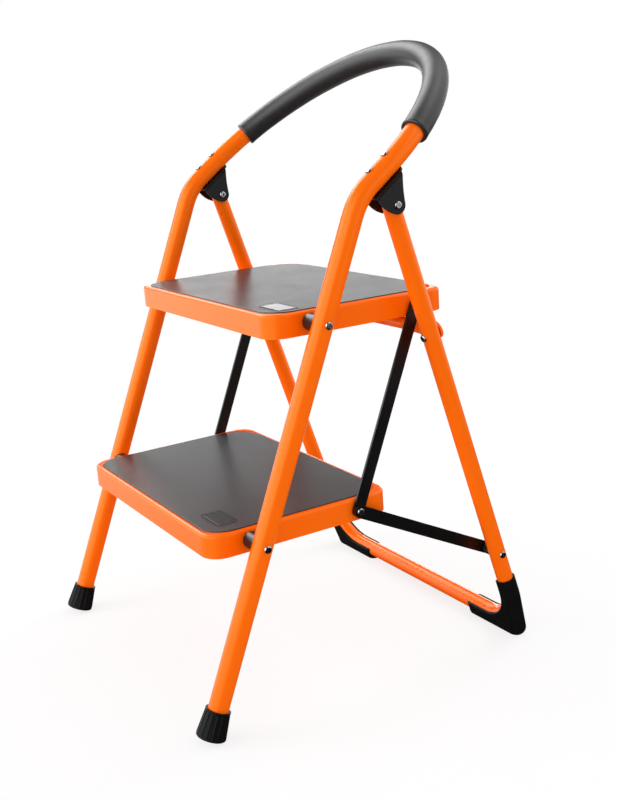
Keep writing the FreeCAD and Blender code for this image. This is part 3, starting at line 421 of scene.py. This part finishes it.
def rib_tree():
    """Rounded ribs down a cone, fading into it at both ends."""
    stations, sides, fade_rate, thin_end = 15, 10, 7, 0.35
    sizes = (("Count", "Int"), ("Low Radius", "Float"), ("High Radius", "Float"), ("Low", "Float"),
             ("High", "Float"), ("Rib Radius", "Float"), ("Proud", "Float"))
    group, tree, size = node_tree("ferrule_ribs", sizes)
    sunk = size["Rib Radius"] - size["Proud"]

    def end_point(radius, height):
        return tree.node("ShaderNodeCombineXYZ", {}, {0: size[radius] - sunk, 2: size[height]})

    line = tree.node("GeometryNodeCurvePrimitiveLine", {}, {
        "Start": end_point("Low Radius", "Low"), "End": end_point("High Radius", "High")})
    line = tree.node("GeometryNodeResampleCurve", {}, {"Curve": line, "Count": stations})
    share = tree.node("GeometryNodeSplineParameter", out="Factor")
    fade = (share.lower_of(1 - share) * fade_rate).lower_of(1) ** 0.5
    thickness = thin_end + (1 - thin_end) * fade
    line = tree.node("GeometryNodeSetCurveRadius", {}, {"Curve": line, "Radius": thickness})
    round_bar = tree.node("GeometryNodeCurvePrimitiveCircle", {}, {
        "Resolution": sides, "Radius": size["Rib Radius"]})
    rib = tree.node("GeometryNodeCurveToMesh", {}, {
        "Curve": line, "Profile Curve": round_bar, "Fill Caps": True})
    spots = tree.node("GeometryNodePoints", {}, {"Count": size["Count"]})
    turn = tree.node("GeometryNodeInputIndex") * tau / size["Count"]
    turn = tree.node("ShaderNodeCombineXYZ", {}, {2: turn})
    turn = tree.node("FunctionNodeEulerToRotation", {}, {0: turn})
    ribs = tree.node("GeometryNodeInstanceOnPoints", {}, {
        "Points": spots, "Instance": rib, "Rotation": turn})
    end_tree(tree, ribs, FINISHES["foot_rubber"])
    return group


def ferrule_ribs():
    """Ribs round both ferrules."""
    values = {"Count": 15, "Low Radius": 0.0176, "High Radius": 0.0147, "Low": 0.0086,
              "High": 0.0365, "Rib Radius": 0.0021, "Proud": 0.0007}
    group = rib_tree()
    for side, x in (("left", -HALF_SPACING), ("right", HALF_SPACING)):
        foot = FRONT_GROUND + Vector((x, 0, 0))
        spot = Matrix.Translation(foot) @ Matrix.Rotation(-radians(FRONT_LEAN), 4, "X")
        mesh = grown_mesh("ferrule_ribs_" + side, group, values, spot)
        smooth(mesh)
        new_piece("ferrule_ribs_" + side, mesh, "front_frame")


def border_tree():
    """A dotted line round a rounded rectangle: a row of small domes."""
    sizes = (("Wide", "Float"), ("Deep", "Float"), ("Corner", "Float"), ("Spacing", "Float"),
             ("Dot", "Float"))
    group, tree, size = node_tree("patch_border", sizes)
    edge = tree.node("GeometryNodeCurvePrimitiveQuadrilateral", {}, {
        "Width": size["Wide"], "Height": size["Deep"]})
    edge = tree.node("GeometryNodeFilletCurve", {"mode": "POLY"}, {
        "Curve": edge, "Radius": size["Corner"], "Count": 6})
    spots = tree.node("GeometryNodeCurveToPoints", {"mode": "LENGTH"}, {
        "Curve": edge, "Length": size["Spacing"]})
    dot = tree.node("GeometryNodeMeshIcoSphere", {}, {"Radius": size["Dot"], "Subdivisions": 2})
    dots = tree.node("GeometryNodeInstanceOnPoints", {}, {"Points": spots, "Instance": dot})
    end_tree(tree, dots, FINISHES["black_plastic"])
    return group


def blank_plate(name, wide, deep, corner, low, high, edge):
    """A rounded rectangle of sheet with a softened upper edge."""
    steps = 8
    halfway = edge * 0.3
    mesh = bmesh.new()

    def ring(inset, height):
        verts = []
        for quarter, (sx, sy) in enumerate(((1, 1), (-1, 1), (-1, -1), (1, -1))):
            for k in range(steps + 1):
                angle = pi / 2 * (quarter + k / steps)
                x = sx * (wide / 2 - corner) + cos(angle) * (corner - inset)
                y = sy * (deep / 2 - corner) + sin(angle) * (corner - inset)
                verts.append(mesh.verts.new((x, y, height)))
        return verts

    rings = [ring(0, low), ring(0, high - edge), ring(halfway, high - halfway), ring(edge, high)]
    for first, second in zip(rings, rings[1:]):
        for k in range(len(first)):
            m = (k + 1) % len(first)
            mesh.faces.new((first[k], first[m], second[m], second[k]))
    mesh.faces.new(rings[-1])
    mesh.faces.new(reversed(rings[0]))
    done = bpy.data.meshes.new(name)
    mesh.to_mesh(done)
    mesh.free()
    return done


def mat_patches():
    """A smooth blank patch with a dotted border near the front corner of each mat."""
    wide, deep, corner = 0.046, 0.024, 0.0015
    sunk, proud, edge, border_gap = 0.0004, 0.0003, 0.0003, 0.001
    group = border_tree()
    values = {"Wide": wide + 2 * border_gap, "Deep": deep + 2 * border_gap,
              "Corner": corner + border_gap, "Spacing": 0.0022, "Dot": 0.0006}
    for level, pivot, x, along in (("upper", UPPER_PIVOT, 0.147, -0.0155),
                                   ("lower", LOWER_PIVOT, 0.138, -0.0123)):
        step = Matrix.Translation(pivot) @ Matrix.Rotation(radians(STEP_SLOPE), 4, "X")
        spot = step @ Matrix.Translation((x, along, MAT_TOP))
        body = level + "_step"
        plate = blank_plate(body + "_patch", wide, deep, corner, -sunk, proud, edge)
        plate.transform(spot)
        plate.materials.append(PATCH_FINISH)
        new_piece(body + "_patch", plate, body)
        dots = grown_mesh(body + "_patch_border", group, values, spot)
        smooth(dots)
        new_piece(body + "_patch_border", dots, body)


def white_floor():
    """A pale floor: it keeps the ladder's shadow near it and is plain white further off."""
    reach, corners, near, far, near_white = 6.0, 96, 0.45, 1.1, 0.8
    mesh = bmesh.new()
    bmesh.ops.create_circle(mesh, cap_ends=True, segments=corners, radius=reach)
    done = bpy.data.meshes.new("floor")
    mesh.to_mesh(done)
    mesh.free()
    floor = bpy.data.objects.new("floor", done)
    bpy.context.scene.collection.objects.link(floor)
    floor.visible_glossy = False
    material, tree = new_finish("pale_floor")
    place = tree.place()
    away = tree.node("ShaderNodeVectorMath", {"operation": "LENGTH"}, {0: place}, out="Value")
    path = tree.node("ShaderNodeLightPath", out="Is Camera Ray")
    white = path * (near_white + (1 - near_white) * away.step(near, far))
    dust = tree.clouds(7, detail=4)
    pale = tree.blend(dust, (0.80, 0.80, 0.80, 1), (0.84, 0.84, 0.84, 1))
    matt = tree.node("ShaderNodeBsdfDiffuse", {}, {"Color": pale})
    glow = tree.node("ShaderNodeEmission", {}, {"Color": (1, 1, 1, 1), "Strength": 1})
    both = tree.node("ShaderNodeMixShader", {}, {0: white, 1: matt, 2: glow})
    tree.node("ShaderNodeOutputMaterial", {}, {"Surface": both})
    done.materials.append(material)


def white_surroundings():
    """White to the eye and an even light, but what gloss mirrors is a studio.

    A white wall stands round the front and left, brighter above the horizon and dark towards the top.
    It has a dark window at the left, with a bright panel above. Behind the ladder a bright strip lies
    on the horizon, with a soft box high over it. The right is unlit but for a faint light at its back.
    """
    even_light = 0.95
    world = bpy.data.worlds.new("white_surroundings")
    bpy.context.scene.world = world
    world.use_nodes = True
    tree = Tree(world.node_tree)
    camera = tree.node("ShaderNodeLightPath", out="Is Camera Ray")
    clear = tree.node("ShaderNodeLightPath", out="Is Transmission Ray")
    gloss = tree.node("ShaderNodeLightPath", out="Is Glossy Ray")
    way = tree.node("ShaderNodeTexCoord", out="Generated")
    x, y, z = (tree.node("ShaderNodeSeparateXYZ", {}, {0: way}, out=axis) for axis in "XYZ")
    left = (x * -0.77 + y * -0.64).step(-0.3, 0.1)
    behind = y.step(0.1, 0.4)
    window = z.step(0.0, 0.15) * (1 - z.step(0.4, 0.6)) * y.step(-0.6, -0.3)
    panel = (x * -0.75 + z * 0.66).step(0.87, 0.96)
    wall = 1.5 * z.step(-0.55, -0.1) + 1.9 * z.step(0.0, 0.2) - 3.2 * z.step(0.5, 0.85)
    front = wall - 3 * window + 3.2 * panel
    back = (0.1 + 3.8 * (1 - z.step(0.16, 0.22))) * (0.15 + 0.85 * z.step(-0.12, 0.02))
    right = 0.9 * z.step(-0.15, -0.03) * behind
    overhead = 1.2 * z.step(0.55, 0.85) * behind
    sweep = front + behind * (back - front)
    studio = left * sweep + (1 - left) * right + overhead
    white = camera.higher_of(clear)
    strength = white + (1 - white) * (gloss * studio + (1 - gloss) * even_light)
    sky = tree.node("ShaderNodeBackground", {}, {"Color": (1, 1, 1, 1), "Strength": strength})
    tree.node("ShaderNodeOutputWorld", {}, {"Surface": sky})


def soft_lamp(name, spot, target, size, watts):
    """A round lamp turned to a target, which gloss doesn't mirror."""
    lamp = bpy.data.lights.new(name, "AREA")
    lamp.shape = "DISK"
    lamp.size = size
    lamp.energy = watts
    holder = bpy.data.objects.new(name, lamp)
    holder.visible_glossy = False
    bpy.context.scene.collection.objects.link(holder)
    holder.location = spot
    holder.rotation_euler = (Vector(target) - Vector(spot)).to_track_quat("-Z", "Y").to_euler()


def studio_light():
    """One lamp in front of the ladder and one high behind it."""
    middle = (0, 0, 0.4)
    soft_lamp("front_lamp", spot=(-0.55, -1.6, 0.95), target=middle, size=1.2, watts=16)
    soft_lamp("back_lamp", spot=(-0.3, 2.0, 2.3), target=middle, size=1.6, watts=26)


def photo_camera():
    """A camera that sees the ladder as the photograph does."""
    azimuth, elevation = radians(CAMERA_AZIMUTH), radians(CAMERA_ELEVATION)
    ahead = Vector((-sin(azimuth) * cos(elevation), cos(azimuth) * cos(elevation), -sin(elevation)))
    level = Vector((cos(azimuth), sin(azimuth), 0))
    upright = level.cross(ahead)
    roll = radians(CAMERA_ROLL)
    right = level * cos(roll) + upright * sin(roll)
    up = right.cross(ahead)
    turn = Matrix((right, up, -ahead)).transposed().to_4x4()
    lens = bpy.data.cameras.new("photo_camera")
    lens.sensor_width = CAMERA_SENSOR
    lens.lens = CAMERA_FOCAL_PIXELS / PHOTO_TALL * CAMERA_SENSOR
    lens.clip_start, lens.clip_end = 0.01, 50
    camera = bpy.data.objects.new("photo_camera", lens)
    bpy.context.scene.collection.objects.link(camera)
    camera.matrix_world = Matrix.Translation(CAMERA_EYE) @ turn
    bpy.context.scene.camera = camera


photo_camera()
dress_cad_pieces()
foam_sleeve()
ferrule_ribs()
mat_patches()
white_floor()
white_surroundings()
studio_light()
